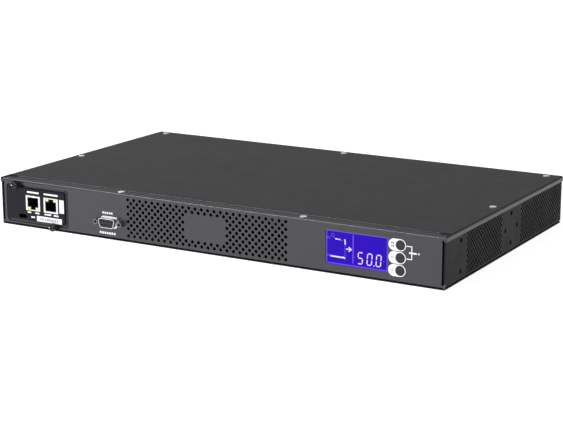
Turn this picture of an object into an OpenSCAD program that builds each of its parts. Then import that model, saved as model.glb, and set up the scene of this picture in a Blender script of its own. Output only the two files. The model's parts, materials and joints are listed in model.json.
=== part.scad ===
// Rack static transfer switch: a one-unit (1U) enclosure that feeds its outlets from one of two
// mains sources. Millimetres. The origin is the middle of the underside, the front faces -Y.

/* [Case] */
// Width over the side panels
body_w = 436; // [434:1:440]
// Depth from the front face to the rear face
body_d = 254; // [246:1:280]
// Height from the underside to the top of the cover
body_h = 43; // [42.5:0.1:43.5]
// Thickness of the front, side and rear panels
panel_t = 1.2; // [1:0.1:1.4]
// Thickness of the base pan
base_t = 1; // [0.8:0.1:1.2]
// Thickness of the top cover
cover_t = 1; // [0.8:0.1:1.2]
// Inner radius of the folds
bend_r = 0.8; // [0.6:0.1:1]
// Width of the flanges folded inward
flange_w = 12; // [11:0.5:14]
// Height of the cover's side lips
lip_h = 4.5; // [3.5:0.5:6]
// Depth of the front strip that the cover leaves bare
strip_d = 10; // [9:0.5:11]
// Air left between sheets that don't touch
sheet_gap = 0.1; // [0.05:0.05:0.2]

/* [Corner seams] */
// Width of the open seam at each front corner
seam_w = 1.5; // [1.2:0.1:2]
// Height of the bands left above and below the seam
seam_band = 3.6; // [3:0.2:5]
// Radius of the relief at each end of the seam
relief_r = 1.1; // [0.8:0.1:1.4]

/* [Grille] */
// Middle of the grille, from the middle of the case
grille_x = -1.5; // [-4:0.5:4]
// Columns of holes in a long row
grille_cols = 26; // [20:1:27]
// Rows of holes
grille_rows = 11; // [7:2:11]
// Spacing along a row
grille_pitch_x = 6.25; // [6:0.05:6.4]
// Spacing between rows
grille_pitch_z = 3.19; // [3:0.01:3.25]
// Diameter of a hole
grille_hole_d = 3; // [2.4:0.1:3.2]
// Width of the solid patch in the middle
patch_w = 40; // [30:1:50]

/* [Side vents] */
// Diameter of a vent hole
vent_d = 2.5; // [2:0.1:2.8]
// Spacing of the vent holes
vent_pitch = 4.65; // [4.4:0.05:4.7]
// Rows of vent holes
vent_rows = 8; // [5:1:8]
// Columns in the front field
vent_cols_front = 16; // [8:1:16]
// Columns in the rear field
vent_cols_rear = 21; // [8:1:21]
// First column of the front field, behind the front face
vent_front_y = 42.6; // [40:0.2:44]
// Last column of the rear field, ahead of the rear face
vent_rear_y = 4; // [3:0.2:6]

/* [Rack ear holes] */
// Diameter of an ear hole
ear_hole_d = 4; // [3.4:0.1:4.5]
// Spacing of each pair
ear_pitch = 25.5; // [24:0.1:26]
// Front pair, behind the front face
ear_front_y = 30; // [26:0.5:34]
// Middle pair, behind the front face
ear_middle_y = 134.3; // [130:0.1:140]

/* [Network card] */
// Middle of the card window, from the middle of the case
card_x = -178.1; // [-179:0.1:-176]
// Width of the card window
card_win_w = 68.4; // [66:0.2:70]
// Height of the card window
card_win_h = 34.7; // [33:0.1:36]
// Width of the card's plate
plate_w = 64.7; // [63:0.1:65]
// Height of the card's plate
plate_h = 29.2; // [28.5:0.1:31]
// Depth of the card's board
card_d = 112; // [100:1:114]
// Diameter of the thumbscrew heads
thumb_d = 6.4; // [6:0.1:6.8]
// Length of the thumbscrew heads
thumb_l = 4; // [3:0.5:6]
// Width of a network jack
jack_w = 15.8; // [15.4:0.1:16]
// Height of a network jack
jack_h = 13.6; // [13:0.1:14]
// Depth of a network jack
jack_d = 21; // [18:0.5:24]

/* [Serial port] */
// Middle of the port, from the middle of the case
port_x = -98.8; // [-104:0.2:-94]
// Height of the port's middle above the underside
port_z = 15.4; // [14.8:0.1:17]
// Spacing of the two jackscrews
jackscrew_pitch = 25; // [24.9:0.1:25.1]
// Reach of the shell in front of the panel
port_reach = 6; // [4:0.5:7]

/* [Display and buttons] */
// Middle of the display, from the middle of the case
lcd_x = 140.9; // [138:0.1:143]
// Width of the display window
lcd_w = 55.3; // [50:0.1:57]
// Height of the display window
lcd_h = 28.1; // [26:0.1:30]
// Middle of the buttons, from the middle of the case
button_x = 179.7; // [178:0.1:183]
// Spacing of the buttons
button_pitch = 10.35; // [10:0.05:10.4]
// Diameter of a button
button_d = 7.5; // [7:0.1:8]
// Reach of a button in front of the panel
button_reach = 0.4; // [0.2:0.1:0.8]
// Travel of a button
button_travel = 0.8; // [0.5:0.1:1]
// Clearance round a button and its stem
button_gap = 0.3; // [0.2:0.05:0.4]

/* [Rear connectors] */
// Spacing of the small outlets
outlet_pitch = 34.5; // [33.6:0.1:35]
// Width of a small outlet's flange
outlet_w = 32; // [31:0.2:33]
// Height of a small outlet's flange
outlet_h = 26; // [25:0.2:28]
// Width of a large connector's flange
large_w = 37; // [36:0.2:38]
// Height of a large connector's flange
large_h = 29; // [28:0.2:31]
// Depth of the connector bodies behind the panel
socket_d = 22; // [20:0.5:24]

/* [Boards] */
// Thickness of the circuit boards
board_t = 1.6; // [1.2:0.1:2]
// Height of the standoffs under the main board
standoff_h = 7; // [6:0.5:8]
// Depth of the main board
main_d = 104; // [100:1:104]
// Width of the main board
main_w = 404; // [396:1:408]

/* [Hidden] */
fine = 48;
coarse = 24;
eps = 0.01;

// Case
half_w = body_w / 2;
front_y = -body_d / 2;
rear_y = body_d / 2;
panel_top = body_h - cover_t;
fold_r = bend_r + panel_t;
behind_y = front_y + panel_t;
side_flange_y = strip_d + 2;
flange_under = panel_top - panel_t;
tongue_top = flange_under - sheet_gap;
tongue_x = half_w - 9;
cover_fold_r = bend_r + cover_t;
joggle_r = 0.3;
cover_front_y = front_y + strip_d + 3 * sheet_gap;
inner_x = half_w - panel_t - sheet_gap;
mid_z = panel_top / 2;

// Cover screws: M3 pan heads
screw_r = 1.5;
screw_hole_r = 1.6;
head_r = 3;
head_h = 1;
screw_l = 5;
strip_screw_x = 90;
strip_screw_y = front_y + strip_d * 0.55;
side_screw_x = half_w - 7;
side_screw_y = front_y + 110;
rear_screw_x = half_w - 12;
rear_screw_y = rear_y - 8;

// Base screws: M3 countersunk
csk_r = 2.8;
base_screw_x = [-200, -125, -45, 45, 125, 200];
base_screw_y = [-60, 20];
base_inset = 6.5;

// Front layout
seam_x = half_w - panel_t - seam_w / 2;
card_win_z = 20.7;
plate_z = 20.7;
plate_x = card_x - card_win_w / 2 + 0.3 + plate_w / 2;
thumb_dx = 20.5;
thumb_dz = 16.9;
thumb_hole_r = 2.4;
cage_t = 1;
cage_front_y = behind_y + sheet_gap;
card_board_z = 14.2;
jack_z = card_board_z + board_t + jack_h / 2;
jack_xs = [card_x - 3.8, card_x + 16.1];
cavity_w = 11.8;
cavity_h = 8.2;
notch_w = 4.2;
notch_h = 2.6;
lcd_z = 21.9;
button_z = 20.9;
button_zs = [button_z + button_pitch, button_z, button_z - button_pitch];

// Display stack behind the panel
glass_t = 1.8;
glass_rim = 2.4;
display_stack = 7.2;
display_board_y = behind_y + display_stack;
display_board_w = 106;
display_board_x = 153.5;
display_board_h = 35;
stem_r = 1.5;
switch_w = 6;
switch_d = 3.4;
collar_t = 0.8;

// Boards
main_z = base_t + standoff_h;
main_top = main_z + board_t;
main_front_y = front_y + 106;
main_mid_y = main_front_y + main_d / 2;
cage_d = main_front_y - cage_front_y - 1;
terminal_y = rear_y - 56;
serial_board_w = 40;
serial_board_d = 34;
serial_board_y = behind_y + 3;
standoff_r = 3;

// Rear layout
inlet_xs = [-190, -149];
large_outlet_x = -108;
first_outlet_x = -70;
outlet_xs = [for (i = [0:7]) first_outlet_x + i * outlet_pitch];
socket_z = 21.5;
flange_t = 2;
core_w = 23.6;
core_h = 15.8;
core_gap = 2.3;
large_core_w = 28;
large_core_h = 20;
pin_l = 16;
tab_l = 6;
cut_gap = 0.2;
tab_end_y = rear_y - panel_t - socket_d - tab_l;
bar_t = 1.2;
bar_h = 3;
bar_pitch = 7;
wire_r = 1.5;
wire_bend = 4;
ground_x = 205;
ground_z = 10;
pin_places = [[-6.5, -2], [6.5, -2], [0, 3]];

// ---------- shared shapes ----------

// Rounded rectangle round the origin
module round_rect(w, h, r) {
  square([w - 2 * r, h], center = true);
  square([w, h - 2 * r], center = true);
  for (x = [-1, 1], y = [-1, 1])
    translate([x * (w / 2 - r), y * (h / 2 - r)]) circle(r = r, $fn = coarse);
}

// A 2D shape in X and Z, raised from y to y + depth
module standing(y, depth) {
  translate([0, y + depth, 0]) rotate([90, 0, 0]) linear_extrude(depth) children();
}

// A 2D shape in Y and Z, raised from x to x + depth
module sideways(x, depth) {
  translate([x, 0, 0]) rotate([90, 0, 90]) linear_extrude(depth) children();
}

// A box given by its centre in X and its low corner in Y and Z
module block(x, y, z, size) {
  translate([x - size[0] / 2, y, z]) cube(size);
}

// Quarter of a fold, open towards the origin
module fold2d(t, r = bend_r) {
  intersection() {
    difference() {
      circle(r = r + t, $fn = fine);
      circle(r = r, $fn = fine);
    }
    square(r + t + 1);
  }
}

// Channel in section: a wall whose outer face is at x = 0, with a flange at each end
module channel2d(low, high) {
  translate([-panel_t, low + fold_r]) square([panel_t, high - low - 2 * fold_r]);
  for (z = [low, high - panel_t])
    translate([-flange_w, z]) square([flange_w - fold_r, panel_t]);
  translate([-fold_r, high - fold_r]) fold2d(panel_t);
  translate([-fold_r, low + fold_r]) mirror([0, 1]) fold2d(panel_t);
}

// Pan-head screw with a cross recess, head up, seated at z = 0
module pan_screw(length, r = screw_r, hr = head_r, hh = head_h) {
  difference() {
    union() {
      rotate_extrude($fn = fine) intersection() {
        square([hr, hh]);
        translate([0, hh - 3.4 * hr]) circle(r = 3.4 * hr, $fn = 120);
      }
      translate([0, 0, -length]) cylinder(r = r, h = length + eps, $fn = coarse);
    }
    for (a = [0, 90]) rotate(a)
      translate([-0.35 * r, -1.1 * r, hh * 0.35]) cube([0.7 * r, 2.2 * r, hh]);
  }
}

// ---------- sheet metal ----------

function ring_places() = concat(
  [for (x = base_screw_x, s = [-1, 1]) [x, s * (body_d / 2 - base_inset)]],
  [for (y = base_screw_y, s = [-1, 1]) [s * (half_w - base_inset), y]]);

module base_pan() color("dimgray") {
  difference() {
    linear_extrude(base_t) difference() {
      round_rect(body_w, body_d, 0.6);
      for (p = ring_places()) translate(p) circle(r = screw_hole_r, $fn = coarse);
    }
    for (p = ring_places())
      translate([p[0], p[1], -eps]) cylinder(r1 = csk_r + 0.1, r2 = screw_hole_r, h = csk_r - screw_r, $fn = fine);
  }
}

module base_screw_holes() {
  for (p = ring_places())
    translate([p[0], p[1], 0]) cylinder(r = csk_r - base_t + sheet_gap, h = flange_w, $fn = coarse);
}

module vent_field(y, cols) {
  z0 = mid_z - (vent_rows - 1) * vent_pitch / 2;
  for (i = [0:cols - 1], j = [0:vent_rows - 1])
    translate([y + i * vent_pitch, z0 + j * vent_pitch]) circle(d = vent_d, $fn = coarse);
  for (i = [0:cols - 2], j = [0:vent_rows - 2])
    translate([y + (i + 0.5) * vent_pitch, z0 + (j + 0.5) * vent_pitch]) circle(d = vent_d, $fn = coarse);
}

module ear_holes() {
  for (y = [ear_front_y, ear_middle_y], s = [-1, 1])
    translate([front_y + y, mid_z + s * ear_pitch / 2]) circle(d = ear_hole_d, $fn = fine);
  for (s = [-1, 1])
    translate([front_y + ear_middle_y + s * ear_pitch / 2, mid_z]) circle(d = ear_hole_d, $fn = fine);
}

// The right-hand side panel: a channel with vents, cut back behind the front panel's tabs
module side_panel() {
  difference() {
    union() {
      sideways(half_w - panel_t, panel_t) difference() {
        translate([front_y, base_t + fold_r]) square([body_d, panel_top - base_t - 2 * fold_r]);
        vent_field(front_y + vent_front_y, vent_cols_front);
        vent_field(rear_y - vent_rear_y - (vent_cols_rear - 1) * vent_pitch, vent_cols_rear);
        ear_holes();
      }
      translate([half_w, 0, 0]) standing(front_y, body_d) difference() {
        channel2d(base_t, panel_top);
        translate([-panel_t, base_t + fold_r]) square([2 * panel_t, panel_top - base_t - 2 * fold_r]);
      }
    }
    // flanges start behind the front panel's own and stop before the rear panel's
    block(half_w - panel_t - flange_w, front_y - 1, 0, [2 * flange_w, side_flange_y + 1, base_t + fold_r]);
    block(half_w - panel_t - flange_w, front_y - 1, panel_top - fold_r, [2 * flange_w, side_flange_y + 1, 9]);
    for (z = [base_t - eps, panel_top - fold_r])
      block(half_w - panel_t - flange_w, rear_y - side_flange_y, z, [2 * flange_w, flange_w + 9, fold_r + 1]);
    // top edge under the front strip, and the two tabs of the front panel
    block(half_w, front_y - 1, tongue_top, [9, side_flange_y + 1, 9]);
    for (z = [-1, panel_top - seam_band])
      block(half_w, front_y - 1, z, [9, fold_r + sheet_gap + 1, seam_band + 1 + (z < 0 ? base_t : 0)]);
    base_screw_holes();
    translate([side_screw_x, side_screw_y, 0]) cylinder(r = screw_r, h = body_h, $fn = coarse);
  }
}

module left_side_panel() color("#3c3a3a") mirror([1, 0, 0]) side_panel();
module right_side_panel() color("#3c3a3a") side_panel();

// Holes of the grille, round a solid patch
module grille_holes() {
  for (j = [0:grille_rows - 1]) {
    odd = j % 2;
    for (i = [0:grille_cols - 1 - odd]) {
      x = (i - (grille_cols - 1 - odd) / 2) * grille_pitch_x;
      inside = abs(x) < patch_w / 2 && j > 1 && j < grille_rows - 2;
      if (!inside)
        translate([grille_x + x, 21.55 + (j - (grille_rows - 1) / 2) * grille_pitch_z])
          circle(d = grille_hole_d, $fn = coarse);
    }
  }
}

// The face of the front panel with every cut-out
module front_face2d() {
  difference() {
    union() {
      translate([-half_w, base_t + fold_r]) square([body_w, panel_top - base_t - 2 * fold_r]);
      for (x = [-half_w, inner_x]) translate([x, base_t]) square([half_w - inner_x, fold_r + eps]);
    }
    grille_holes();
    translate([card_x, card_win_z]) round_rect(card_win_w, card_win_h, 3);
    translate([port_x, port_z]) d_shape(0.5);
    for (s = [-1, 1])
      translate([port_x + s * jackscrew_pitch / 2, port_z]) circle(r = 1.7, $fn = coarse);
    translate([lcd_x, lcd_z]) round_rect(lcd_w, lcd_h, 0.6);
    for (z = button_zs) translate([button_x, z]) circle(r = button_d / 2 + button_gap, $fn = fine);
  }
}

module front_panel() color("#55555a") {
  difference() {
    union() {
      standing(front_y, panel_t) front_face2d();
      sideways(-half_w, body_w) front_fold(panel_top, strip_d, 1);
      sideways(-inner_x, 2 * inner_x) front_fold(base_t, flange_w, -1);
    }
    // corner seams with their reliefs
    for (s = [-1, 1]) {
      block(s * (seam_x + 4), front_y - 1, base_t + seam_band,
        [8 + seam_w, strip_d, panel_top - base_t - 2 * seam_band]);
      for (z = [base_t + seam_band, panel_top - seam_band])
        translate([s * seam_x, front_y - 1, z]) rotate([-90, 0, 0])
          cylinder(r = relief_r, h = panel_t + 2, $fn = coarse);
    }
    for (s = [-1, 1]) translate([plate_x - s * thumb_dx, front_y - 1, plate_z + s * thumb_dz])
      rotate([-90, 0, 0]) cylinder(r = thumb_hole_r, h = panel_t + 2, $fn = coarse);
    // the bottom flange stops short at the card bay
    block(card_x, behind_y + eps, 0, [card_win_w + 12, flange_w + 1, base_t + fold_r + 1]);
    base_screw_holes();
    for (s = [-1, 1])
      translate([s * strip_screw_x, strip_screw_y, mid_z])
        cylinder(r = screw_hole_r, h = body_h, $fn = coarse);
  }
}

// Flange and fold at an edge of the front panel in section; up is 1 at the top, -1 at the bottom
module front_fold(edge, depth, up) {
  translate([front_y + fold_r, up > 0 ? edge - panel_t : edge]) square([depth - fold_r, panel_t]);
  translate([front_y + fold_r, edge - up * fold_r]) mirror([1, 0]) mirror([0, up > 0 ? 0 : 1]) fold2d(panel_t);
}

module rear_panel() color("#3c3a3a") {
  difference() {
    translate([0, rear_y, 0]) rotate([0, 0, 90]) translate([0, inner_x, 0]) rotate([90, 0, 0])
      linear_extrude(2 * inner_x) channel2d(base_t, panel_top);
    for (x = inlet_xs) standing_hole(x, socket_z, large_w - 4, large_h - 4);
    standing_hole(large_outlet_x, socket_z, large_w - 4, large_h - 4);
    for (x = outlet_xs) standing_hole(x, socket_z, outlet_w - 3, outlet_h - 3);
    translate([ground_x, rear_y - flange_w, ground_z]) rotate([-90, 0, 0]) cylinder(r = 2.1, h = 2 * flange_w, $fn = coarse);
    base_screw_holes();
    for (x = [-rear_screw_x, 0, rear_screw_x])
      translate([x, rear_screw_y, mid_z]) cylinder(r = screw_r, h = body_h, $fn = coarse);
  }
}

module standing_hole(x, z, w, h) {
  translate([x, rear_y - panel_t - 1, z]) rotate([90, 0, 0]) mirror([0, 0, 1])
    linear_extrude(panel_t + 3) round_rect(w, h, 1);
}

module top_cover() color("#413f40") {
  low = body_h - lip_h;
  joggle = cover_t + joggle_r;
  tongue_low = tongue_top - cover_t;
  difference() {
    union() {
      // main sheet with its side lips
      standing(cover_front_y + joggle, rear_y - cover_front_y - joggle) {
        flat_w = body_w + 2 * cover_t - 2 * cover_fold_r;
        translate([-flat_w / 2, panel_top]) square([flat_w, cover_t]);
        for (s = [-1, 1]) cover_edge(s, low);
      }
      for (s = [-1, 1])
        block(s * (tongue_x + half_w) / 2, cover_front_y, panel_top, [half_w - tongue_x, 2 * joggle, cover_t]);
      // the lips run on to the front corners
      standing(front_y, strip_d + 2 * joggle) intersection() {
        for (s = [-1, 1]) cover_edge(s, low);
        for (s = [-1, 1])
          translate([s * (half_w + cover_t / 2), panel_top]) square([cover_t, 20], center = true);
      }
      // joggled tongue under the front strip
      sideways(-tongue_x, 2 * tongue_x) {
        translate([front_y + fold_r + 0.3, tongue_low])
          square([cover_front_y - joggle_r - front_y - fold_r - 0.3, cover_t]);
        translate([cover_front_y - joggle_r, tongue_low + joggle]) mirror([0, 1]) fold2d(cover_t, joggle_r);
        translate([cover_front_y, tongue_low + joggle]) square([cover_t, body_h - tongue_low - 2 * joggle]);
        translate([cover_front_y + joggle, body_h - joggle]) mirror([1, 0]) fold2d(cover_t, joggle_r);
      }
    }
    for (s = [-1, 1]) {
      translate([s * strip_screw_x, strip_screw_y, mid_z]) cylinder(r = screw_r, h = body_h, $fn = coarse);
      translate([s * side_screw_x, side_screw_y, mid_z])
        cylinder(r = screw_hole_r, h = body_h, $fn = coarse);
    }
    for (x = [-rear_screw_x, 0, rear_screw_x])
      translate([x, rear_screw_y, mid_z]) cylinder(r = screw_hole_r, h = body_h, $fn = coarse);
  }
}

// One folded edge of the cover in section
module cover_edge(s, low) {
  mirror([s < 0 ? 1 : 0, 0]) {
    translate([half_w, low]) square([cover_t, body_h - cover_fold_r - low]);
    translate([half_w + cover_t - cover_fold_r, body_h - cover_fold_r]) fold2d(cover_t);
  }
}

module cover_screws() color("silver") {
  for (s = [-1, 1]) {
    translate([s * strip_screw_x, strip_screw_y, panel_top]) pan_screw(screw_l);
    translate([s * side_screw_x, side_screw_y, body_h]) pan_screw(screw_l);
  }
  for (x = [-rear_screw_x, 0, rear_screw_x])
    translate([x, rear_screw_y, body_h]) pan_screw(screw_l);
}

module base_screws() color("silver") {
  for (p = ring_places()) translate([p[0], p[1], 0]) {
    cylinder(r1 = csk_r, r2 = screw_r, h = csk_r - screw_r, $fn = fine);
    cylinder(r = screw_r, h = base_t + 2 * panel_t, $fn = coarse);
  }
}

// ---------- network card ----------

module card_plate2d() {
  difference() {
    union() {
      translate([plate_x, plate_z]) round_rect(plate_w, plate_h, 1.5);
      for (s = [-1, 1]) translate([plate_x - s * thumb_dx, plate_z + s * (plate_h / 2 + 1)])
        round_rect(9, 2 * (thumb_dz - plate_h / 2 + 2.4), 2);
    }
    for (x = jack_xs) translate([x, jack_z]) square([jack_w + 0.2, jack_h + 0.2], center = true);
    for (s = [-1, 1]) translate([plate_x - s * thumb_dx, plate_z + s * thumb_dz])
      circle(r = screw_hole_r, $fn = coarse);
    translate([card_x - 15.9, 9.6]) round_rect(9, 3.6, 1.7);
  }
}

module card_plate() color("#3b3b42") standing(front_y - panel_t, panel_t) card_plate2d();

module card_board() color("darkgreen")
  block(card_x, behind_y - 0.6, card_board_z, [card_win_w - 1.4, card_d, board_t]);

module card_chips() color("#202022") {
  top = card_board_z + board_t;
  for (c = [[-14, 48, 17, 1.8], [12, 46, 12, 1.4], [14, 70, 14, 1.4], [-16, 78, 9, 1.2]])
    block(card_x + c[0], front_y + c[1], top, [c[2], c[2], c[3]]);
  for (x = jack_xs) block(x, front_y + 26, top, [12, 8, 5]);
}

module card_thumbscrews() color("#26262a") {
  for (s = [-1, 1])
    translate([plate_x - s * thumb_dx, front_y - panel_t, plate_z + s * thumb_dz]) rotate([90, 0, 0])
      difference() {
        union() {
          cylinder(d = thumb_d, h = thumb_l, $fn = fine);
          for (a = [0:20:340]) rotate(a) translate([thumb_d / 2, 0, 0.6])
            cylinder(r = 0.3, h = thumb_l - 1.2, $fn = 6);
          translate([0, 0, -panel_t - cage_t - 3]) cylinder(r = screw_r, h = 6, $fn = coarse);
        }
        translate([-thumb_d, -0.4, thumb_l - 1]) cube([2 * thumb_d, 0.8, 2]);
      }
}

module card_cage() color("#4a4a4e") {
  low = base_t + panel_t + sheet_gap;
  high = tongue_top - cover_t - sheet_gap;
  side_x = card_win_w / 2 + 1.2;
  wall_h = 36 - low;
  difference() {
    union() {
      standing(cage_front_y, cage_t) difference() {
        translate([card_x - side_x - cage_t, base_t + sheet_gap])
          square([2 * side_x + 2 * cage_t, high - base_t - sheet_gap]);
        translate([card_x - card_win_w / 2 - 0.2, plate_z - plate_h / 2 + 1])
          square([card_win_w + 1, plate_h - 2]);
      }
      for (s = [-1, 1])
        block(card_x + s * (side_x + cage_t / 2), cage_front_y, low, [cage_t, cage_d, wall_h]);
      block(card_x + side_x + 4.5, cage_front_y + 14, base_t, [9, cage_d - 14, cage_t]);
      block(card_x + side_x + cage_t / 2, cage_front_y + 14, base_t, [cage_t, cage_d - 14, low]);
    }
    for (s = [-1, 1]) translate([plate_x - s * thumb_dx, front_y, plate_z + s * thumb_dz])
      rotate([-90, 0, 0]) cylinder(r = screw_r, h = 9, $fn = coarse);
  }
}

module card_rails() color("#e8e6de") {
  for (s = [-1, 1]) difference() {
    block(card_x + s * (card_win_w / 2 - 0.9), cage_front_y + cage_t, card_board_z - 2.4,
      [4.2, cage_d - cage_t - 2, board_t + 4.8]);
    block(card_x, cage_front_y, card_board_z - sheet_gap,
      [card_win_w - 1.2, card_d + 6, board_t + 2 * sheet_gap]);
  }
}

module card_socket() color("#202022") {
  y = behind_y - 0.6 + card_d - 5;
  difference() {
    block(card_x, y, main_top, [46, 12, 12]);
    block(card_x, y - 1, card_board_z - sheet_gap, [card_win_w, 6.1, board_t + 2 * sheet_gap]);
  }
}

// Front opening of a jack: the plug's cavity and the latch notch below it
module jack_opening2d(margin = 0) {
  square([cavity_w + 2 * margin, cavity_h + 2 * margin], center = true);
  translate([-notch_w / 2 - margin, -cavity_h / 2 - notch_h - margin])
    square([notch_w + 2 * margin, notch_h + 2 * margin + 1]);
}

// Places children at a jack's middle; flip turns the latch notch up
module at_jack(x, flip) {
  translate([x, front_y - panel_t - 0.4, jack_z]) rotate([0, flip ? 180 : 0, 0]) children();
}

module jack_shell() {
  shell_t = 0.5;
  difference() {
    block(0, 0, -jack_h / 2, [jack_w, jack_d, jack_h]);
    block(0, shell_t, -jack_h / 2 + shell_t, [jack_w - 2 * shell_t, jack_d, jack_h - 2 * shell_t]);
    translate([0, 0, 1]) standing(-1, shell_t + 2) {
      jack_opening2d(0.15);
      translate([-cavity_w / 2 - 0.15, -cavity_h / 2 - notch_h - 0.15])
        square([cavity_w + 0.3, notch_h + 1]);
    }
  }
}

module jack_insert() {
  w = jack_w - 1.2;
  h = jack_h - 1.2;
  difference() {
    block(0, 0.6, -h / 2, [w, jack_d - 1.2, h]);
    translate([0, 0, 1]) standing(0, 14) jack_opening2d();
    for (s = [-1, 1])
      block(s * (cavity_w / 2 - 1.6), 0, 1 - cavity_h / 2 - notch_h, [2.9, 3.3, notch_h - 0.5]);
  }
}

module jack_lamps() {
  for (s = [-1, 1])
    block(s * (cavity_w / 2 - 1.6), 0.1, 1 - cavity_h / 2 - notch_h + 0.1, [2.7, 3.2, notch_h - 0.7]);
}

module jack_wires() {
  for (i = [0:7])
    translate([(i - 3.5) * 1.02, 13.85, cavity_h / 2 + 0.8]) rotate([-155, 0, 0])
      translate([-0.18, 0, 0]) cube([0.36, 6, 0.3]);
}

module ethernet_jack_shell() color("#e4e4e8") at_jack(jack_xs[0], false) jack_shell();
module sensor_jack_shell() color("#e4e4e8") at_jack(jack_xs[1], true) jack_shell();
module ethernet_jack_insert() color("#1c1c1e") at_jack(jack_xs[0], false) jack_insert();
module sensor_jack_insert() color("#1c1c1e") at_jack(jack_xs[1], true) jack_insert();

module jack_lights() color("#dfe59a") {
  at_jack(jack_xs[0], false) jack_lamps();
  at_jack(jack_xs[1], true) jack_lamps();
}

module jack_contacts() color("gold") {
  at_jack(jack_xs[0], false) jack_wires();
  at_jack(jack_xs[1], true) jack_wires();
}

// ---------- serial port ----------

// Outline of a nine-way D-shaped port, grown by a margin
module d_shape(margin) {
  w = 16.9 + 2 * margin;
  h = 8.4 + 2 * margin;
  r = 2.4 + margin;
  slope = 1.2;
  hull() {
    for (s = [-1, 1]) {
      translate([s * (w / 2 - r), h / 2 - r]) circle(r = r, $fn = coarse);
      translate([s * (w / 2 - r - slope), r - h / 2]) circle(r = r, $fn = coarse);
    }
  }
}

module serial_port_shell() color("#c9c9cc") {
  difference() {
    union() {
      translate([port_x, 0, port_z]) standing(front_y - port_reach, port_reach + panel_t + 2) d_shape(0);
      translate([port_x, 0, port_z]) standing(behind_y, 1) round_rect(30.8, 12.4, 1.5);
    }
    translate([port_x, 0, port_z]) standing(front_y - port_reach - 1, port_reach + 12) d_shape(-0.5);
    for (s = [-1, 1]) translate([port_x + s * jackscrew_pitch / 2, front_y, port_z]) rotate([-90, 0, 0])
      cylinder(r = 1.6, h = 9, $fn = coarse);
  }
}

module serial_port_insert() color("#1c1c1e") {
  difference() {
    union() {
      translate([port_x, 0, port_z]) standing(front_y - port_reach + 0.3, port_reach + panel_t + 2.7) d_shape(-0.7);
      block(port_x, behind_y + 3, main_top, [18, 8, port_z + 5 - main_top]);
    }
    for (row = [0, 1], i = [0:4 - row])
      translate([port_x + (i - (4 - row) / 2) * 2.76, front_y - port_reach - 1, port_z + 1.42 * (1 - 2 * row)])
        rotate([-90, 0, 0]) cylinder(r = 0.55, h = 6, $fn = coarse);
  }
}

module serial_jackscrews() color("silver") {
  for (s = [-1, 1]) translate([port_x + s * jackscrew_pitch / 2, front_y, port_z]) rotate([90, 0, 0])
    difference() {
      union() {
        rotate(30) cylinder(r = 2.75, h = 4.8, $fn = 6);
        translate([0, 0, -6]) cylinder(r = 1.45, h = 7, $fn = coarse);
      }
      translate([0, 0, 1]) cylinder(r = 1.25, h = 9, $fn = coarse);
    }
}

module serial_board() color("darkgreen")
  block(port_x, serial_board_y, main_z, [serial_board_w, serial_board_d, board_t]);

// Flat cable between a board in front and the main board, in section
module ribbon2d(y0, y1, z0, z1) {
  r = 3;
  t = 0.9;
  translate([y0, z0]) square([y1 - y0 - r, t]);
  translate([y1 - r, z0 - r]) intersection() {
    difference() {
      circle(r = r + t, $fn = fine);
      circle(r = r, $fn = fine);
    }
    square(r + t + 1);
  }
  translate([y1, z1]) square([t, z0 - r - z1]);
}

module serial_ribbon() color("#8a8a8e")
  sideways(port_x - 6, 12) ribbon2d(serial_board_y + serial_board_d - 6, main_front_y + 6, main_top + 8, main_top);

// ---------- display and buttons ----------

module display_glass() color("#3a10d8")
  translate([lcd_x, 0, lcd_z]) standing(behind_y, glass_t)
    square([lcd_w + 2 * glass_rim, lcd_h + 2 * glass_rim], center = true);

module display_backlight() color("white")
  translate([lcd_x, 0, lcd_z]) standing(behind_y + glass_t, display_stack - glass_t)
    square([lcd_w + 1.6 * glass_rim, lcd_h + 1.6 * glass_rim], center = true);

module display_corners() {
  for (x = [-1, 1], z = [-1, 1])
    translate([display_board_x + x * (display_board_w / 2 - 3.4), 0, lcd_z + z * (display_board_h / 2 - 2.6)])
      rotate([-90, 0, 0]) children();
}

module display_board() color("darkgreen") {
  difference() {
    block(display_board_x, display_board_y, lcd_z - display_board_h / 2,
      [display_board_w, board_t, display_board_h]);
    display_corners() translate([0, 0, front_y]) cylinder(r = screw_hole_r, h = body_d, $fn = coarse);
  }
}

module display_standoffs() color("silver") {
  display_corners() translate([0, 0, behind_y]) difference() {
    cylinder(r = 2.6, h = display_stack, $fn = 6);
    translate([0, 0, 1]) cylinder(r = screw_r, h = display_stack, $fn = coarse);
  }
}

module tact_switches() color("#2a2a2c") {
  for (z = button_zs) difference() {
    block(button_x, display_board_y - switch_d, z - switch_w / 2, [switch_w, switch_d, switch_w]);
    translate([button_x, display_board_y - switch_d - 1, z]) rotate([-90, 0, 0])
      cylinder(r = stem_r + button_gap, h = switch_d, $fn = coarse);
  }
}

// A button cap with its collar behind the panel and its stem in the switch
module push_button(z) {
  collar_y = panel_t + button_gap;
  stem_end = panel_t + display_stack - button_travel - 1.4;
  translate([button_x, front_y, z]) rotate([-90, 0, 0]) {
    difference() {
      translate([0, 0, -button_reach]) cylinder(d = button_d, h = button_reach + collar_y + eps, $fn = fine);
      translate([0, 0, -button_reach - 17.85]) sphere(r = 18, $fn = 90);
    }
    translate([0, 0, collar_y]) cylinder(d = button_d + 1.6, h = collar_t, $fn = fine);
    translate([0, 0, collar_y]) cylinder(r = stem_r, h = stem_end - collar_y, $fn = coarse);
  }
}

module button_upper() color("#17171a") push_button(button_zs[0]);
module button_middle() color("#17171a") push_button(button_zs[1]);
module button_lower() color("#17171a") push_button(button_zs[2]);

module display_ribbon() color("#8a8a8e")
  sideways(lcd_x - 10, 20) ribbon2d(display_board_y + board_t, main_front_y + 6, 24, main_top);

// ---------- main board ----------

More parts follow.
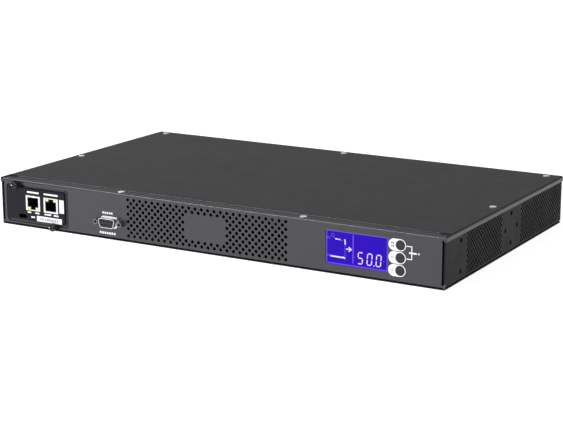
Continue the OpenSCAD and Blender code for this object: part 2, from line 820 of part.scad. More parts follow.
function main_corners() = concat(
  [for (x = [-128, 0, 178], y = [-1, 1]) [x, main_mid_y + y * (main_d / 2 - 6)]], [[-196, main_mid_y]]);
function serial_corners() = [for (x = [-1, 1], y = [12.5, serial_board_d - 4.5])
  [port_x + x * (serial_board_w / 2 - 4), serial_board_y + y]];
function standoff_places() = concat(main_corners(), serial_corners());

module main_board() color("darkgreen") {
  difference() {
    block(0, main_front_y, main_z, [main_w, main_d, board_t]);
    for (p = main_corners()) translate([p[0], p[1], main_z - 1]) cylinder(r = screw_hole_r, h = board_t + 2, $fn = coarse);
  }
}

module board_standoffs() color("silver") {
  for (p = standoff_places()) translate([p[0], p[1], base_t]) difference() {
    cylinder(r = standoff_r, h = standoff_h, $fn = 6);
    translate([0, 0, 1]) cylinder(r = screw_r, h = standoff_h, $fn = coarse);
  }
}

module board_screws() color("silver") {
  for (p = main_corners()) translate([p[0], p[1], main_top]) pan_screw(screw_l, hh = 1.8);
  display_corners() translate([0, 0, display_board_y + board_t]) pan_screw(screw_l, hr = 2.6, hh = 1.6);
}

module insulation_sheet() color("#d8d4c0") {
  difference() {
    block(0, main_front_y + 1, base_t, [main_w - 2, main_d - 2, 0.4]);
    for (p = main_corners()) translate([p[0], p[1], 0]) cylinder(r = standoff_r + 0.6, h = 9, $fn = coarse);
  }
}

module transfer_relays() color("#1f3f8a") {
  for (i = [0:3]) block(-60 + i * 36, main_front_y + 52, main_top, [30, 27, 21]);
}

// Finned extrusion that carries the thyristors
module heat_sink() color("#b9babd") {
  fins = 12;
  pitch = 6;
  sideways(98, 84) {
    translate([main_front_y + 46, main_top + 1]) square([3, 24]);
    for (i = [0:3]) translate([main_front_y + 49 - eps, main_top + 1 + i * 7.4]) square([15, 1.8]);
  }
}

module thyristors() color("#1b1b1d") {
  for (i = [0:3]) {
    block(110 + i * 20, main_front_y + 41, main_top + 4, [15.6, 5, 20]);
    for (j = [-1:1]) block(110 + i * 20 + j * 5.4, main_front_y + 43, main_top, [1.2, 0.8, 4]);
  }
}

module transformer_cores() color("#5a5f66") {
  for (i = [0, 1]) translate([-172 + i * 44, main_front_y + 62, main_top]) difference() {
    block(0, 0, 0, [34, 14, 27]);
    for (s = [-1, 1]) block(s * 8.5, -1, 6, [6, 16, 15]);
  }
}

module transformer_coils() color("#c98a4a") {
  for (i = [0, 1]) translate([-172 + i * 44, main_front_y + 58, main_top]) difference() {
    block(0, 0, 6, [22.6, 22, 15]);
    block(0, 3.9, 5, [11.2, 14.2, 17]);
  }
}

module electrolytic_capacitors() color("#22252b") {
  for (i = [0:2]) translate([-110 + i * 17, main_front_y + 32, main_top]) {
    cylinder(r = 6.2, h = 20, $fn = fine);
    translate([0, 0, 20]) cylinder(r1 = 6.2, r2 = 5.6, h = 0.6, $fn = fine);
  }
}

module film_capacitors() color("#c9a227") {
  for (i = [0:3]) block(-50 + i * 24, main_front_y + 26, main_top, [18, 9, 15]);
}

module current_sensors() color("#2c5f3a") {
  for (i = [0, 1]) translate([58 + i * 20, main_front_y + 30, main_top + 10]) rotate([0, 90, 0])
    rotate_extrude($fn = fine) translate([7.2, 0]) round_rect(5.6, 8, 1.2);
}

module terminal_blocks() color("#2f7d46") {
  for (x = inlet_xs) difference() {
    block(x, terminal_y, main_top, [30, 10, 19]);
    for (p = pin_places) translate([x + p[0], terminal_y + 4, socket_z + p[1]]) rotate([-90, 0, 0])
      cylinder(r = wire_r, h = 7, $fn = coarse);
  }
}

module control_board() color("darkgreen") {
  y = main_front_y + 16;
  block(20, y, main_top, [90, board_t, 26]);
  block(20, y - 2, main_top + 6, [14, 2 + eps, 14]);
  block(-4, y - 1.5, main_top + 8, [8, 1.5 + eps, 8]);
}

// ---------- rear connectors ----------

// Body of a panel connector: flange outside, body behind, three tabs at the back
module socket_body(w, h) {
  standing(0, flange_t) round_rect(w, h, 1.5);
  standing(-panel_t - socket_d, panel_t + socket_d + eps) round_rect(w - 4 - 2 * cut_gap, h - 4 - 2 * cut_gap, 1);
}

// Keyed outline of a connector: a rectangle with its two upper corners cut
module keyed2d(w, h) {
  cut = 3.6;
  polygon([[-w / 2, -h / 2], [w / 2, -h / 2], [w / 2, h / 2 - cut], [w / 2 - cut, h / 2],
    [cut - w / 2, h / 2], [-w / 2, h / 2 - cut]]);
}

module inlet(x) {
  translate([x, rear_y, socket_z]) difference() {
    socket_body(large_w, large_h);
    standing(-pin_l - 2, pin_l + 9) round_rect(large_core_w + 1.2, large_core_h + 1.2, 1);
    for (p = pin_places) translate([p[0], 0, p[1]]) standing(-socket_d - 9, socket_d) square([2, 8], center = true);
  }
}

module inlet_a() color("#1c1c1e") inlet(inlet_xs[0]);
module inlet_b() color("#1c1c1e") inlet(inlet_xs[1]);

module inlet_pins() color("#d0c8a8") {
  for (x = inlet_xs, p = pin_places)
    translate([x + p[0], rear_y, socket_z + p[1]])
      standing(-panel_t - socket_d - tab_l, socket_d + tab_l - 3) square([2, 8], center = true);
}

// Outlet with a moulded core inside a groove, and three slots for the plug's pins
module outlet(w, h, cw, ch, slot, spread) {
  difference() {
    socket_body(w, h);
    difference() {
      standing(-pin_l, pin_l + 9) keyed2d(cw + 2 * core_gap, ch + 2 * core_gap);
      standing(-pin_l - 1, pin_l + 1) keyed2d(cw, ch);
    }
    for (p = [[-spread, -2], [spread, -2], [0, 2]])
      translate([p[0], 0, p[1]]) standing(-socket_d + 2, socket_d + 9) square(slot, center = true);
  }
}

module small_outlets() color("#1c1c1e")
  for (x = outlet_xs) translate([x, rear_y, socket_z])
    outlet(outlet_w, outlet_h, outlet_w - 4 - 4 - 2 * core_gap, outlet_h - 4 - 4 - 2 * core_gap, [2.4, 4.6], 6);

module large_outlet() color("#1c1c1e")
  translate([large_outlet_x, rear_y, socket_z])
    outlet(large_w, large_h, large_w - 4 - 4 - 2 * core_gap, large_h - 4 - 4 - 2 * core_gap, [2.6, 8.4], 6.5);

module outlet_contacts() color("#d0c8a8") {
  for (x = concat([large_outlet_x], outlet_xs), i = [-1:1])
    block(x + i * 6, tab_end_y, socket_z + i * bar_pitch - bar_h / 2, [0.8, tab_l, bar_h]);
}

module bus_bars() color("#b87333") {
  x0 = large_outlet_x - 10;
  for (i = [0:2])
    translate([x0, tab_end_y - bar_t, socket_z + (i - 1) * bar_pitch - bar_h / 2])
      cube([outlet_xs[7] + 10 - x0, bar_t, bar_h]);
}

module input_wires() color("#7a2a22") {
  for (x = inlet_xs, p = pin_places)
    translate([x + p[0], tab_end_y, socket_z + p[1]])
      rotate([90, 0, 0]) cylinder(r = wire_r, h = tab_end_y - terminal_y - 4, $fn = coarse);
}

// Wires from the bus bars, bent down to the main board
module output_wires() color("#26262a") {
  for (i = [0:2]) {
    z = socket_z + (i - 1) * bar_pitch;
    run = tab_end_y - bar_t - (main_front_y + main_d - 8 - i * 6);
    translate([30 + i * 12, tab_end_y - bar_t, z]) {
      rotate([90, 0, 0]) cylinder(r = wire_r, h = run - wire_bend, $fn = coarse);
      translate([0, wire_bend - run, -wire_bend]) rotate([0, 90, 0]) rotate([0, 0, 180])
        rotate_extrude(angle = 90, $fn = fine) translate([wire_bend, 0]) circle(r = wire_r, $fn = coarse);
      translate([0, -run, main_top - z]) cylinder(r = wire_r, h = z - main_top - wire_bend, $fn = coarse);
    }
  }
}

module ground_screw() color("#c8b06a") {
  translate([ground_x, rear_y, ground_z]) rotate([-90, 0, 0]) {
    translate([0, 0, -8]) cylinder(r = 2, h = 14, $fn = coarse);
    difference() {
      cylinder(r = 4, h = 3, $fn = 6);
      translate([0, 0, -1]) cylinder(r = 2, h = 9, $fn = coarse);
    }
  }
}

base_pan();
left_side_panel();
right_side_panel();
front_panel();
rear_panel();
top_cover();
cover_screws();
base_screws();
card_plate();
card_board();
card_chips();
card_thumbscrews();
card_cage();
card_rails();
card_socket();
ethernet_jack_shell();
sensor_jack_shell();
ethernet_jack_insert();
sensor_jack_insert();
jack_contacts();
jack_lights();
serial_port_shell();
serial_port_insert();
serial_jackscrews();
serial_board();
serial_ribbon();
display_glass();
display_backlight();
display_board();
display_ribbon();
display_standoffs();
tact_switches();
button_upper();
button_middle();
button_lower();
main_board();
board_standoffs();
board_screws();
insulation_sheet();
transfer_relays();
heat_sink();
thyristors();
transformer_cores();
transformer_coils();
electrolytic_capacitors();
film_capacitors();
current_sensors();
terminal_blocks();
control_board();
inlet_a();
inlet_b();
inlet_pins();
small_outlets();
large_outlet();
outlet_contacts();
bus_bars();
input_wires();
output_wires();
ground_screw();
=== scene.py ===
"""Looks of the rack static transfer switch: finishes, printed marks, display, lights and camera.

Metres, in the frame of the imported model: front towards -Y, +Z up, origin under the middle.
"""
import json
import math
import random

import bmesh
import bpy
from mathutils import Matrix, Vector


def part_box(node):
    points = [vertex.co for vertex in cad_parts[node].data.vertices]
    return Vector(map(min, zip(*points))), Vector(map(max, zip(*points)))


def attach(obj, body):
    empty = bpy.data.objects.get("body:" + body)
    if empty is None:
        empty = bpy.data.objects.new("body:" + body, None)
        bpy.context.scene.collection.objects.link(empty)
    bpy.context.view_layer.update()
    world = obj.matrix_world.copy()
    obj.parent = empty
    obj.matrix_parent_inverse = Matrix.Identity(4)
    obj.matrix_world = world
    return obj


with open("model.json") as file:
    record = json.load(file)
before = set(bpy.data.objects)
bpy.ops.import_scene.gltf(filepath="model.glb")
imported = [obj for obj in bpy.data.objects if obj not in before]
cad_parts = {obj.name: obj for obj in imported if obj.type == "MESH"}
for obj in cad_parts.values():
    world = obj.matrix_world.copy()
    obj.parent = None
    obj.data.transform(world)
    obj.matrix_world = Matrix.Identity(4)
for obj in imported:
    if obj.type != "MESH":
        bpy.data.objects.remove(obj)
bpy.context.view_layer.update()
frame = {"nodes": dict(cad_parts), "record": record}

MM = 0.001
INK = 0.05 * MM          # thickness of a printed mark
LABEL = 0.15 * MM        # thickness of a stuck label
LCD_W, LCD_H = 55.3, 28.1    # the display's picture, in millimetres
DIGIT_W, DIGIT_STEP = 4.0, 4.6    # width and half height of a digit, in millimetres
DIGIT_LEAN = 0.07        # sideways shift of a digit per unit of height
SEGMENT_GAP = 0.16       # part of a segment left open at each end
PILL_LENGTH, PILL_RADIUS = 5.4 * MM, 4.9 * MM    # white pill printed round a button
BUTTON_HOLE_R = 4.15 * MM
PILL_STEPS = 96          # points round a pill
NOISE_RANGE = (0.3, 0.7)    # part of a noise texture's values that is spread over a range
COAT_ROUGHNESS = 0.12


# ---------- places, from the frame ----------

def middle(node):
    low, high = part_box(node)
    return (low + high) / 2


PANEL_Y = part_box("front_panel")[0].y
PLATE_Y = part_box("card_plate")[0].y
GLASS_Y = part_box("display_glass")[0].y


# ---------- materials ----------

def linear(code):
    """A #rrggbb colour as linear RGBA."""
    parts = [int(code[i:i + 2], 16) / 255 for i in (1, 3, 5)]
    return tuple(((c + 0.055) / 1.055) ** 2.4 if c > 0.04045 else c / 12.92 for c in parts) + (1,)


def shade(colour, factor):
    return tuple(min(1, c * factor) for c in colour[:3]) + (1,)


class Finish:
    """A procedural material: two close tones, a roughness range and a fine bump."""

    def __init__(self, name, code, metallic=0.0, specular=0.5, coat=0.0):
        self.material = bpy.data.materials.new(name)
        self.material.use_nodes = True
        self.tree = self.material.node_tree
        self.nodes = self.tree.nodes
        self.shader = self.nodes["Principled BSDF"]
        self.colour = linear(code)
        self.shader.inputs["Metallic"].default_value = metallic
        self.shader.inputs["Specular IOR Level"].default_value = specular
        self.shader.inputs["Coat Weight"].default_value = coat
        self.shader.inputs["Coat Roughness"].default_value = COAT_ROUGHNESS
        self.coords = self.nodes.new("ShaderNodeTexCoord").outputs["Object"]

    def noise(self, scale, detail=3.0, stretch=(1, 1, 1)):
        mapping = self.nodes.new("ShaderNodeMapping")
        mapping.inputs["Scale"].default_value = stretch
        self.tree.links.new(self.coords, mapping.inputs["Vector"])
        texture = self.nodes.new("ShaderNodeTexNoise")
        texture.inputs["Scale"].default_value = scale
        texture.inputs["Detail"].default_value = detail
        self.tree.links.new(mapping.outputs["Vector"], texture.inputs["Vector"])
        return texture.outputs["Fac"]

    def spread(self, source, low, high):
        ramp = self.nodes.new("ShaderNodeMapRange")
        ramp.inputs["From Min"].default_value = NOISE_RANGE[0]
        ramp.inputs["From Max"].default_value = NOISE_RANGE[1]
        ramp.inputs["To Min"].default_value = low
        ramp.inputs["To Max"].default_value = high
        self.tree.links.new(source, ramp.inputs["Value"])
        return ramp.outputs["Result"]

    def tone(self, scale, amount, stretch=(1, 1, 1)):
        mix = self.nodes.new("ShaderNodeMix")
        mix.data_type = "RGBA"
        mix.inputs["A"].default_value = shade(self.colour, 1 - amount)
        mix.inputs["B"].default_value = shade(self.colour, 1 + amount)
        self.tree.links.new(self.spread(self.noise(scale, stretch=stretch), 0, 1), mix.inputs["Factor"])
        self.tree.links.new(mix.outputs["Result"], self.shader.inputs["Base Color"])
        return self

    def rough(self, scale, low, high, stretch=(1, 1, 1)):
        source = self.spread(self.noise(scale, stretch=stretch), low, high)
        self.tree.links.new(source, self.shader.inputs["Roughness"])
        return self

    def bump(self, scale, height, strength=0.5, stretch=(1, 1, 1)):
        bump = self.nodes.new("ShaderNodeBump")
        bump.inputs["Strength"].default_value = strength
        bump.inputs["Distance"].default_value = height
        self.tree.links.new(self.noise(scale, 2.0, stretch), bump.inputs["Height"])
        self.tree.links.new(bump.outputs["Normal"], self.shader.inputs["Normal"])
        return self

    def glow(self, code, strength):
        self.shader.inputs["Emission Color"].default_value = linear(code)
        self.shader.inputs["Emission Strength"].default_value = strength
        return self


def powder_coat(name, code, amount=0.05, specular=0.4, coat=0.0):
    """Fine orange-peel paint on sheet metal."""
    paint = Finish(name, code, specular=specular, coat=coat)
    return paint.tone(14, amount).rough(60, 0.4, 0.5).bump(1400, 0.00004, 0.18)


def moulded(name, code, low=0.4, high=0.55):
    """Plastic with a spark-eroded grain."""
    return Finish(name, code).tone(90, 0.06).rough(300, low, high).bump(2600, 0.00003, 0.35)


def plated(name, code, low=0.18, high=0.36):
    """Plated or bare metal with fine handling marks."""
    return Finish(name, code, metallic=1.0).tone(120, 0.05).rough(500, low, high).bump(1800, 0.00001, 0.3)


FINISHES = {
    # the panel, cover and case coats are one dark powder coat in three tones: lighter on the front panel as
    # painted light, darker on the cover and darkest on the case's sides as painted shade
    "panel_paint": powder_coat("panel_coat_painted_light", "#3c3c42", specular=0.2, coat=0.7),
    "case_paint": powder_coat("case_coat_painted_shade", "#262425", specular=0.05),
    "cover_paint": powder_coat("cover_coat_painted_shade", "#363334", specular=0.15, coat=0.4),
    "card_paint": powder_coat("card_powder_coat", "#212128", specular=0.15),
    "steel": Finish("zinc_plate", "#ffffff", metallic=0.2).tone(120, 0.03)
    .rough(500, 0.35, 0.5).bump(1800, 0.00001, 0.3),
    "tin": plated("tinned_sheet", "#e6e6ea", 0.2, 0.34),
    "gold": plated("plated_brass", "#d8b45c", 0.2, 0.3),
    "bare_aluminium": plated("extruded_aluminium", "#b9babd", 0.3, 0.45),
    "core_steel": Finish("core_laminations", "#5a5f66", metallic=0.8).tone(60, 0.1)
    .rough(300, 0.4, 0.6).bump(3000, 0.0001, 0.6, stretch=(0.02, 1, 0.02)),
    "copper": Finish("copper", "#c8794a", metallic=1.0).tone(80, 0.12).rough(300, 0.25, 0.4)
    .bump(2500, 0.0001, 0.5, stretch=(0.05, 0.05, 1)),
    "board_green": Finish("solder_mask", "#0e4a26", coat=0.4).tone(200, 0.25).rough(400, 0.3, 0.45)
    .bump(900, 0.00004, 0.4),
    "black_plastic": moulded("black_plastic", "#1c1c1e"),
    "button_plastic": moulded("button_cap", "#2b2b2f", 0.5, 0.65),
    "white_plastic": moulded("white_plastic", "#e6e4dd"),
    "relay_blue": moulded("relay_case", "#1f3f8a"),
    "yellow_box": moulded("yellow_case", "#c9a227"),
    "green_plastic": moulded("green_plastic", "#2c7343"),
    "grey_cable": Finish("flat_cable", "#8a8a8e").tone(1200, 0.2, stretch=(1, 0.01, 0.01))
    .rough(300, 0.45, 0.6).bump(1200, 0.0002, 0.5, stretch=(1, 0.01, 0.01)),
    "film": Finish("insulating_film", "#d8d4c0", coat=0.3).tone(60, 0.05).rough(100, 0.3, 0.4),
    "can_sleeve": Finish("shrink_sleeve", "#22252b", coat=0.5).tone(80, 0.06).rough(200, 0.25, 0.4),
    "red_wire": moulded("red_insulation", "#7a2a22"),
    "black_wire": moulded("black_insulation", "#26262a"),
    "lamp": Finish("light_window", "#dfe59a", coat=0.4).tone(300, 0.15).rough(300, 0.25, 0.35)
    .glow("#d4e070", 0.35),
    "display_blue": Finish("display_glow", "#08001c", specular=0.1).tone(30, 0.05).rough(200, 0.35, 0.45)
    .glow("#3100d0", 0.82),
}
INKS = {
    # the white ink and the label paper glow faintly: painted light that makes them brighter than the lamps
    # light them
    "white_ink_painted_glow": Finish("white_ink_painted_glow", "#f2f2f2").tone(500, 0.04).rough(400, 0.45, 0.6).glow("#ffffff", 0.25),
    "grey_ink": Finish("grey_ink", "#9a9aa0").tone(500, 0.05).rough(400, 0.45, 0.6),
    "dark_ink": Finish("dark_ink", "#3a3a3e").tone(500, 0.05).rough(400, 0.45, 0.6),
    "paper": Finish("label_paper_painted_glow", "#f0f0f4", coat=0.2).tone(200, 0.03).rough(300, 0.4, 0.55)
    .glow("#ffffff", 0.2),
    "lit_segment": Finish("lit_segment", "#6a5a80", specular=0.2).tone(200, 0.04).rough(300, 0.4, 0.5)
    .glow("#eadcff", 0.95),
    "lit_frame": Finish("lit_frame", "#2c1a60", specular=0.2).tone(200, 0.06).rough(300, 0.4, 0.5)
    .glow("#7350e4", 0.85),
}


def dress_nodes():
    """Gives each carried-over node the finish of its slot; the jackscrews are duller than the screws."""
    own = {"serial_jackscrews": plated("dull_nickel", "#77777a", 0.4, 0.55)}
    for row in frame["record"]["subparts"]:
        node = frame["nodes"][row["node"]]
        node.data.materials.clear()
        node.data.materials.append(own.get(row["node"], FINISHES[row["material_slot"]]).material)


# ---------- mesh helpers ----------

def add_piece(name, bm, finish, body="root"):
    bmesh.ops.recalc_face_normals(bm, faces=bm.faces)
    mesh = bpy.data.meshes.new(name)
    bm.to_mesh(mesh)
    bm.free()
    mesh.materials.append(finish.material)
    piece = bpy.data.objects.new(name, mesh)
    bpy.context.scene.collection.objects.link(piece)
    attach(piece, body)
    return piece


def prism(bm, outline, y, thickness):
    """Raises an outline of (x, z) points from y towards the viewer."""
    front = [bm.verts.new((x, y - thickness, z)) for x, z in outline]
    back = [bm.verts.new((x, y, z)) for x, z in outline]
    bm.faces.new(front)
    bm.faces.new(list(reversed(back)))
    count = len(outline)
    for i in range(count):
        j = (i + 1) % count
        bm.faces.new((front[i], back[i], back[j], front[j]))


def band(bm, inner, outer, y, thickness):
    """Raises the ring between two outlines with the same number of points."""
    loops = [[bm.verts.new((x, depth, z)) for x, z in outline]
             for depth in (y - thickness, y) for outline in (inner, outer)]
    count = len(inner)
    for i in range(count):
        j = (i + 1) % count
        for a, b in ((0, 1), (1, 3), (3, 2), (2, 0)):
            bm.faces.new((loops[a][i], loops[a][j], loops[b][j], loops[b][i]))


def rectangle(x, z, w, h):
    return [(x - w / 2, z - h / 2), (x + w / 2, z - h / 2), (x + w / 2, z + h / 2), (x - w / 2, z + h / 2)]


def stroke(start, end, width):
    """Outline of a straight pen stroke between two points."""
    along = Vector((end[0] - start[0], end[1] - start[1]))
    side = Vector((-along.y, along.x)).normalized() * width / 2
    tip = along.normalized() * width / 4
    return [(start[0] - tip.x - side.x, start[1] - tip.y - side.y),
            (end[0] + tip.x - side.x, end[1] + tip.y - side.y),
            (end[0] + tip.x + side.x, end[1] + tip.y + side.y),
            (start[0] - tip.x + side.x, start[1] - tip.y + side.y)]


def circle(x, z, r, count=48):
    return [(x + r * math.cos(2 * math.pi * i / count), z + r * math.sin(2 * math.pi * i / count))
            for i in range(count)]


# ---------- display ----------

# Segments of a digit, as ends on a grid one wide and two high, from the top clockwise, middle last
SEGMENTS = {"top": ((0, 2), (1, 2)), "upper_right": ((1, 2), (1, 1)), "lower_right": ((1, 1), (1, 0)),
            "bottom": ((1, 0), (0, 0)), "lower_left": ((0, 0), (0, 1)), "upper_left": ((0, 1), (0, 2)),
            "middle": ((0, 1), (1, 1))}
DIGITS = {"5": ("top", "upper_left", "middle", "lower_right", "bottom"),
          "0": ("top", "upper_right", "lower_right", "bottom", "lower_left", "upper_left")}


def display_marks():
    """The lit schematic and reading of the display, in millimetres from the window's lower left."""
    window = middle("display_glass")
    x0, z0 = window.x - LCD_W / 2 * MM, window.z - LCD_H / 2 * MM
    y = GLASS_Y

    def at(x, z):
        return (x0 + x * MM, z0 + z * MM)

    def drawn(x, z):
        """A place in the schematic, which stands a little to the left of its grid."""
        return at(x - 1.3, z)

    bm = bmesh.new()
    # reading, with its point
    for text, left in (("5", 28.6), ("0", 36.8), ("0", 44.8)):
        for name in DIGITS[text]:
            (ax, az), (bx, bz) = SEGMENTS[name]
            ends = []
            for gx, gz, ox, oz in ((ax, az, bx, bz), (bx, bz, ax, az)):
                gx2, gz2 = gx + (ox - gx) * SEGMENT_GAP, gz + (oz - gz) * SEGMENT_GAP
                rise = gz2 * DIGIT_STEP
                ends.append(at(left + gx2 * DIGIT_W + rise * DIGIT_LEAN, 3.2 + rise))
            prism(bm, stroke(*ends, 0.9 * MM), y, INK)
    prism(bm, rectangle(*at(43.1, 3.0), 0.9 * MM, 0.9 * MM), y, INK)
    # schematic: two sources, a switch and the way out
    for start, end, pen in (((5.6, 6.4), (18.2, 6.2), 1.25), ((9.9, 20.9), (12.2, 20.9), 1.0),
                            ((13.0, 20.8), (14.1, 20.8), 0.9), ((18.4, 21.2), (18.6, 17.4), 1.1),
                            ((19.3, 13.8), (23.2, 13.8), 1.0), ((21.9, 15.5), (24.1, 13.8), 0.9),
                            ((21.9, 12.1), (24.1, 13.8), 0.9), ((17.0, 6.9), (18.6, 5.6), 0.8)):
        prism(bm, stroke(drawn(*start), drawn(*end), pen * MM), y, INK)
    add_piece("display_marks", bm, INKS["lit_segment"])

    bm = bmesh.new()
    prism(bm, rectangle(*drawn(25.7, 14.3), 1.0 * MM, 23.4 * MM), y, INK)
    for k in range(6):
        for x in (18.0, 19.3):
            start, end = drawn(x, 7.6 + k * 1.9), drawn(x, 8.7 + k * 1.9)
            prism(bm, stroke(start, end, 0.45 * MM), y, INK)
    for k in range(3):
        start, end = drawn(14.9 + k, 19.9 + 0.5 * k), drawn(15.4 + k, 20.1 + 0.5 * k)
        prism(bm, stroke(start, end, 0.5 * MM), y, INK)
    ring = drawn(7.3, 23.8)
    band(bm, circle(*ring, 0.95 * MM, 24), circle(*ring, 1.5 * MM, 24), y, INK)
    prism(bm, stroke(drawn(7.9, 22.6), drawn(9.4, 21.2), 0.5 * MM), y, INK)
    for z in (21.4, 6.9):
        prism(bm, stroke(drawn(2.6, z - 1.0), drawn(2.6, z + 1.0), 0.55 * MM), y, INK)
        band(bm, circle(*drawn(4.2, z), 0.5 * MM, 16), circle(*drawn(4.2, z), 0.95 * MM, 16), y, INK)
    for x, z in ((26.9, 8.0), (53.1, 7.9)):
        prism(bm, rectangle(*drawn(x, z), 0.9 * MM, 0.7 * MM), y, INK)
    # lit frame round the picture
    edge = 1.0
    for cx, cz, w, h in ((LCD_W / 2, 27.5, 55.2, edge), (LCD_W / 2, 0.6, 55.2, edge),
                         (0.6, LCD_H / 2, edge, 26.0), (54.7, LCD_H / 2, edge, 26.0)):
        prism(bm, rectangle(*at(cx, cz), w * MM, h * MM), y, INK)
    add_piece("display_frame_marks", bm, INKS["lit_frame"])


# ---------- printed marks by the buttons ----------

def pill_reach(angle, length, radius):
    """Distance from the button's middle to the edge of a pill that runs on to the left."""
    c, s = math.cos(angle), math.sin(angle)
    if c >= 0:
        return radius
    if abs(s) * length <= -c * radius:
        return -length * c + math.sqrt(max(0, radius ** 2 - (length * s) ** 2))
    return radius / abs(s)


def button_print():
    """White pills round the buttons, the bracket that joins two of them, and plain symbols."""
    bm = bmesh.new()
    for node in ("button_upper", "button_middle", "button_lower"):
        c = middle(node)
        inner, outer = circle(c.x, c.z, BUTTON_HOLE_R, PILL_STEPS), []
        for i in range(PILL_STEPS):
            a = 2 * math.pi * i / PILL_STEPS
            reach = pill_reach(a, PILL_LENGTH, PILL_RADIUS)
            outer.append((c.x + reach * math.cos(a), c.z + reach * math.sin(a)))
        band(bm, inner, outer, PANEL_Y, INK)
    top, mid = middle("button_upper"), middle("button_middle")
    pen = 0.75 * MM
    right = top.x + 9.9 * MM
    near = top.x + 5.6 * MM
    for ends in (((near, top.z), (right, top.z)), ((right, top.z), (right, mid.z)),
                 ((right, mid.z), (near, mid.z))):
        prism(bm, stroke(*ends, pen), PANEL_Y, INK)
    # plain bar and arrowhead where a caption would be
    caption_x, caption_z = top.x + 10.9 * MM, (top.z + mid.z) / 2
    prism(bm, rectangle(caption_x, caption_z, 6.6 * MM, 1.3 * MM), PANEL_Y, 1.4 * INK)
    tip = caption_x + 6.2 * MM
    head_x, head_half = tip - 1.7 * MM, 0.9 * MM
    prism(bm, [(tip, caption_z), (head_x, caption_z - head_half), (head_x, caption_z + head_half)],
          PANEL_Y, INK)
    add_piece("button_print", bm, INKS["white_ink_painted_glow"])
    # four plain blocks on the upper pill, and a ring on each of the other two
    marks = bmesh.new()
    for dx, dz in ((-7.4, 1.2), (-5.9, 1.2), (-7.4, -1.2), (-5.9, -1.2)):
        prism(marks, rectangle(top.x + dx * MM, top.z + dz * MM, 1.0 * MM, 1.2 * MM), PANEL_Y - INK, INK)
    add_piece("button_symbols", marks, INKS["dark_ink"])
    faint = bmesh.new()
    for node in ("button_middle", "button_lower"):
        c = middle(node)
        x = c.x - 6.8 * MM
        band(faint, circle(x, c.z, 0.7 * MM, 24), circle(x, c.z, 1.1 * MM, 24), PANEL_Y - INK, INK)
    add_piece("button_faint_symbols", faint, INKS["grey_ink"])


# ---------- labels on the network card ----------

def card_labels():
    """Blank paper labels with plain ticks, plain bars by the jacks, and a dark sheet beside the plate as
    painted shade in the gap.
    """
    c = middle("card_plate")
    left, right = middle("ethernet_jack_shell"), middle("sensor_jack_shell")
    bm = bmesh.new()
    prism(bm, rectangle(c.x + 15.4 * MM, 9.3 * MM, 27.8 * MM, 4.9 * MM), PLATE_Y, LABEL)
    prism(bm, rectangle(c.x + 29.4 * MM, 23.0 * MM, 5.0 * MM, 12.0 * MM), PLATE_Y, LABEL)
    add_piece("card_paper_labels", bm, INKS["paper"])
    bm = bmesh.new()
    # plain bars above and below the jacks
    for x, w in ((left.x, 13.0), (right.x, 15.5)):
        prism(bm, rectangle(x, 32.4 * MM, w * MM, 1.5 * MM), PLATE_Y, INK)
    for x, w in ((left.x - 4.6 * MM, 4.0), (left.x + 4.4 * MM, 4.6), (right.x - 3.8 * MM, 7.6),
                 (right.x + 5.4 * MM, 5.4)):
        prism(bm, rectangle(x, 14.0 * MM, w * MM, 1.3 * MM), PLATE_Y, INK)
    prism(bm, rectangle(left.x - 0.6 * MM, 9.9 * MM, 4.0 * MM, 1.4 * MM), PLATE_Y, INK)
    add_piece("card_print", bm, INKS["white_ink_painted_glow"])
    # rows of plain ticks on the long label
    bm = bmesh.new()
    draw = random.Random(3)
    x = c.x + 5.2 * MM
    while x < c.x + 26 * MM:
        w = draw.choice((0.7, 0.9, 1.2)) * MM
        prism(bm, rectangle(x, 9.2 * MM, w, 1.7 * MM), PLATE_Y - LABEL, INK)
        x += w + draw.choice((0.5, 0.8, 1.3)) * MM
    add_piece("card_label_ticks", bm, INKS["grey_ink"])
    # dark sheet behind the gap at the right of the plate: painted shade where the window opens into the
    # dark inside
    edge, window_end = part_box("card_plate")[1].x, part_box("card_board")[1].x
    bm = bmesh.new()
    strip = rectangle((edge + window_end) / 2, c.z, window_end - edge + 0.8 * MM, 33 * MM)
    prism(bm, strip, PANEL_Y + 0.5 * MM, 0.4 * MM)
    add_piece("card_gap_painted_shade", bm, FINISHES["black_plastic"])


# ---------- serial port and thumbscrews ----------

def d_outline(x, z, margin):
    """D-shaped outline of a nine-way port, grown by a margin."""
    w, h, r, slope = 16.9 + 2 * margin, 8.4 + 2 * margin, 2.4 + margin, 1.2
    corners = ((w / 2 - r, h / 2 - r, 0), (r - w / 2, h / 2 - r, 90),
               (r - w / 2 + slope, r - h / 2, 180), (w / 2 - r - slope, r - h / 2, 270))
    outline = []
    for cx, cz, start in corners:
        for k in range(9):
            a = math.radians(start + k * 90 / 8)
            outline.append((x + (cx + r * math.cos(a)) * MM, z + (cz + r * math.sin(a)) * MM))
    return outline


def port_details():
    """The flare round the serial port, and plain blocks above and below it."""
    c = middle("serial_port_shell")
    bm = bmesh.new()
    band(bm, d_outline(c.x, c.z, 0.05), d_outline(c.x, c.z, 1.0), PANEL_Y, 0.8 * MM)
    add_piece("port_flare", bm, FINISHES["tin"])
    # captions as rows of plain blocks
    bm = bmesh.new()
    for dx, dz, count, pitch in ((-2.6, 7.8, 5, 2.3), (-2.9, -10.1, 7, 2.5)):
        for k in range(count):
            x = c.x + (dx + (k - (count - 1) / 2) * pitch) * MM
            prism(bm, rectangle(x, c.z + dz * MM, (pitch - 0.7) * MM, 1.9 * MM), PANEL_Y, INK)
    add_piece("port_captions", bm, INKS["white_ink_painted_glow"])


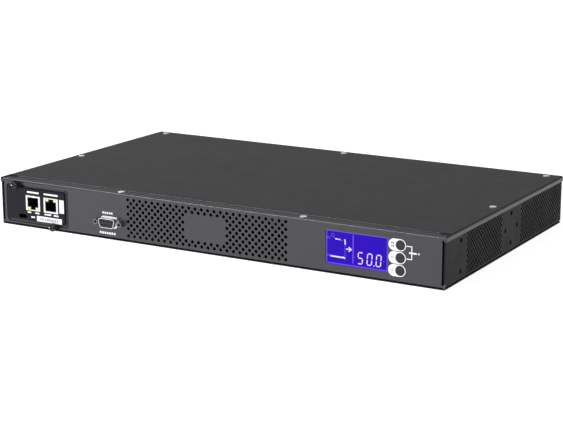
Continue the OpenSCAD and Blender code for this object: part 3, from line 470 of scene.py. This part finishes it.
def thumbscrew_glints():
    """Painted glints: bright tin arcs on the left of the two thumbscrew heads, standing in for a highlight.
    """
    low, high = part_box("card_thumbscrews")
    reach = 3.5 * MM
    bm = bmesh.new()
    for x, z in ((low.x + reach, high.z - reach), (high.x - reach, low.z + reach)):
        ring = [[(x + r * MM * math.cos(a), z + r * MM * math.sin(a))
                 for a in (math.radians(d) for d in range(115, 216, 10))] for r in (1.9, 3.1)]
        # each arc is a painted highlight, not a real bevel
        prism(bm, ring[0] + ring[1][::-1], low.y + 0.3 * MM, 0.3 * MM)
    add_piece("thumbscrew_painted_glints", bm, FINISHES["tin"])


# ---------- floor, light and camera ----------

def studio():
    """A plain pale floor, a pale surround and three softboxes."""
    scene = bpy.context.scene
    scene.view_settings.view_transform = "Standard"
    floor_finish = Finish("floor_paper", "#b4b4b4").tone(2, 0.004).rough(8, 0.7, 0.8).glow("#ffffff", 0.9)
    bm = bmesh.new()
    bmesh.ops.create_grid(bm, x_segments=8, y_segments=8, size=7.0)
    mesh = bpy.data.meshes.new("floor")
    bm.to_mesh(mesh)
    bm.free()
    mesh.materials.append(floor_finish.material)
    floor = bpy.data.objects.new("floor", mesh)
    scene.collection.objects.link(floor)

    world = bpy.data.worlds.new("studio")
    world.use_nodes = True
    background = world.node_tree.nodes["Background"]
    background.inputs["Color"].default_value = linear("#f4f6fa")
    background.inputs["Strength"].default_value = 0.22
    scene.world = world

    def softbox(name, place, target, width, height, power):
        lamp = bpy.data.lights.new(name, "AREA")
        lamp.shape = "RECTANGLE"
        lamp.size = width
        lamp.size_y = height
        lamp.energy = power
        holder = bpy.data.objects.new(name, lamp)
        holder.location = place
        holder.rotation_euler = (Vector(target) - Vector(place)).to_track_quat("-Z", "Y").to_euler()
        scene.collection.objects.link(holder)

    softbox("overhead", (0.1, 0.2, 1.7), (0, 0, 0), 1.8, 1.4, 3)
    softbox("fold_light", (-0.8, -0.45, 1.3), (-0.8, -0.45, 0), 1.1, 0.3, 16)
    softbox("front_left", (-0.9, -1.7, 0.8), (-0.05, -0.1, 0.02), 0.8, 0.8, 6)


def camera():
    """The photograph's view: 30 degrees to the right of the front and 13.5 above it."""
    lens = bpy.data.cameras.new("camera")
    lens.lens = 101.53
    lens.sensor_width = 36
    lens.clip_end = 40
    holder = bpy.data.objects.new("camera", lens)
    holder.location = (0.69756, -1.20993, 0.34605)
    holder.rotation_euler = (math.radians(76.501), 0, math.radians(29.985))
    bpy.context.scene.collection.objects.link(holder)
    bpy.context.scene.camera = holder


camera()
dress_nodes()
display_marks()
button_print()
card_labels()
port_details()
thumbscrew_glints()
studio()
